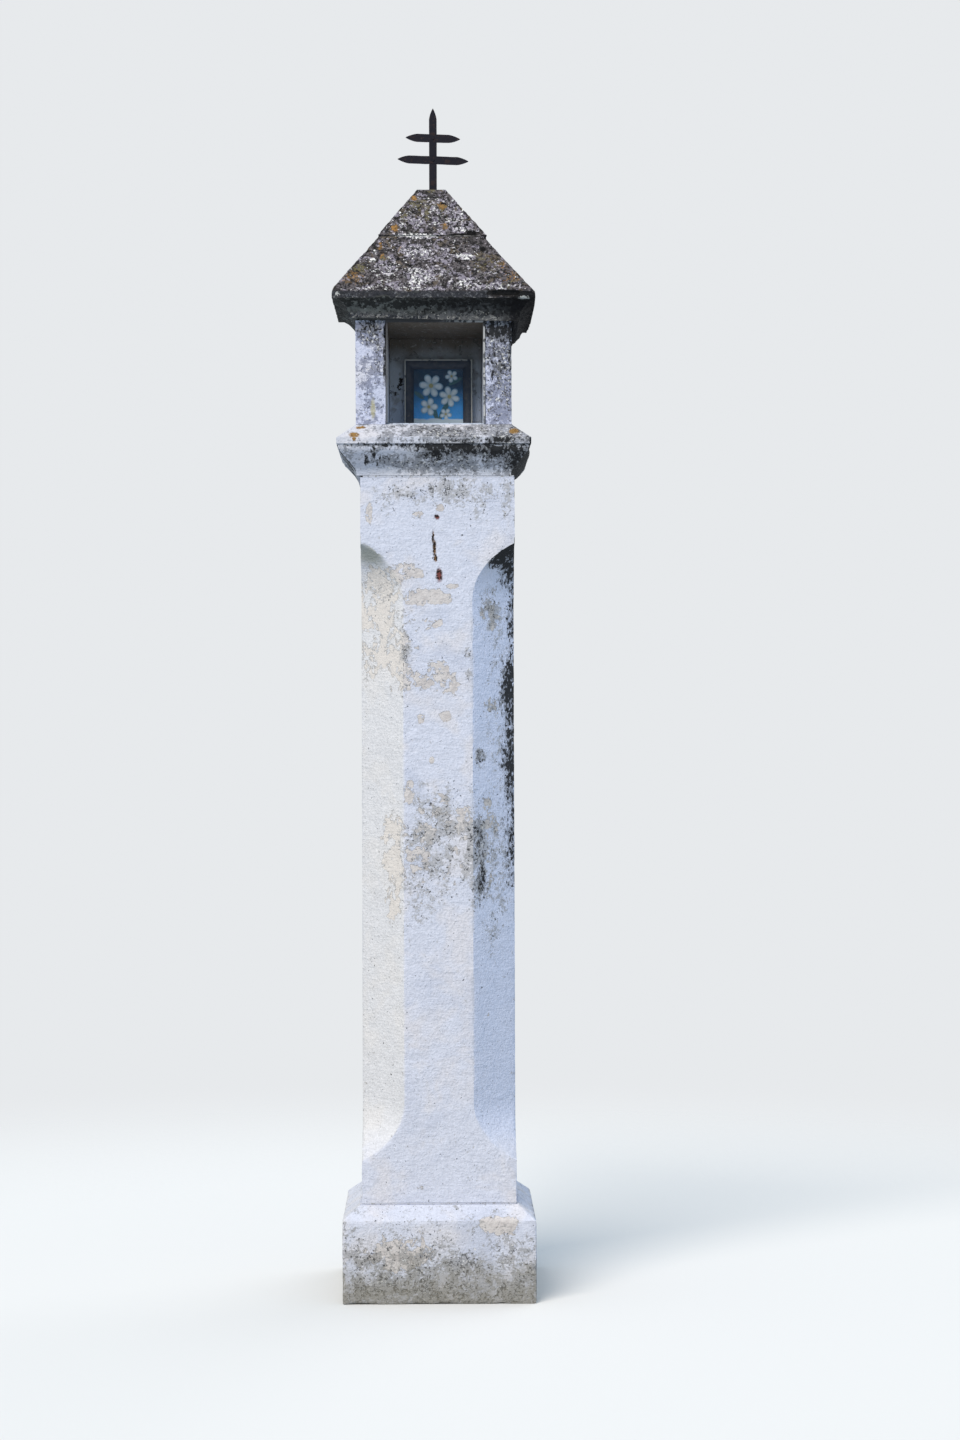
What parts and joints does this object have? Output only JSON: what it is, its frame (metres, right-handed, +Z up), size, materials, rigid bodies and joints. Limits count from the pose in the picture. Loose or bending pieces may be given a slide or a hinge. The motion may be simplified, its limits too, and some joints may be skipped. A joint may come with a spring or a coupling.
{
  "type": "wayside shrine",
  "caption": "Stone wayside shrine: foot block, chamfered shaft, moulded capital, open niche head with a framed picture, hipped stone roof and double-barred iron cross.",
  "frame": {"origin": "on the ground under the middle of the niche head; the shaft stands 9 mm to the right of it", "axes": "+Z up along the pillar, the niche opens towards -Y, +X to the right when facing the niche"},
  "size_m": [0.53, 0.53, 3.1647],
  "materials": {
    "limewashed_stone": "lime-washed, weathered, matt",
    "roof_stone": "bare, weathered, with lichen",
    "mortar": "rough, matt",
    "niche_render": "floated lime render, smoke-stained",
    "wrought_iron": "forged, dark, slightly rusted",
    "frame_wood": "dark stain, light outer rim",
    "picture_glass": "clear",
    "printed_paper": "print, matt",
    "backing_board": "plain"
  },
  "bodies": {
    "root": {"foot_block": "limewashed_stone", "foot_bed": "mortar", "shaft": "limewashed_stone", "capital_bed": "mortar", "capital": "limewashed_stone", "head_left_wall": "limewashed_stone", "head_right_wall": "limewashed_stone", "head_back_wall": "limewashed_stone", "niche_floor": "niche_render", "niche_left_lining": "niche_render", "niche_right_lining": "niche_render", "niche_back_lining": "niche_render", "niche_ceiling": "niche_render", "eave_bed": "mortar", "eave_stone": "roof_stone", "cap_bed": "mortar", "cap_stone": "roof_stone", "cross_socket": "mortar", "cross_upright": "wrought_iron", "cross_lower_bar": "wrought_iron", "cross_upper_bar": "wrought_iron", "cross_lower_rivet": "wrought_iron", "cross_upper_rivet": "wrought_iron", "picture_frame_bottom": "frame_wood", "picture_frame_right": "frame_wood", "picture_frame_top": "frame_wood", "picture_frame_left": "frame_wood", "picture_glass": "picture_glass", "picture_print": "printed_paper", "picture_board": "backing_board"}
  },
  "joints": []
}
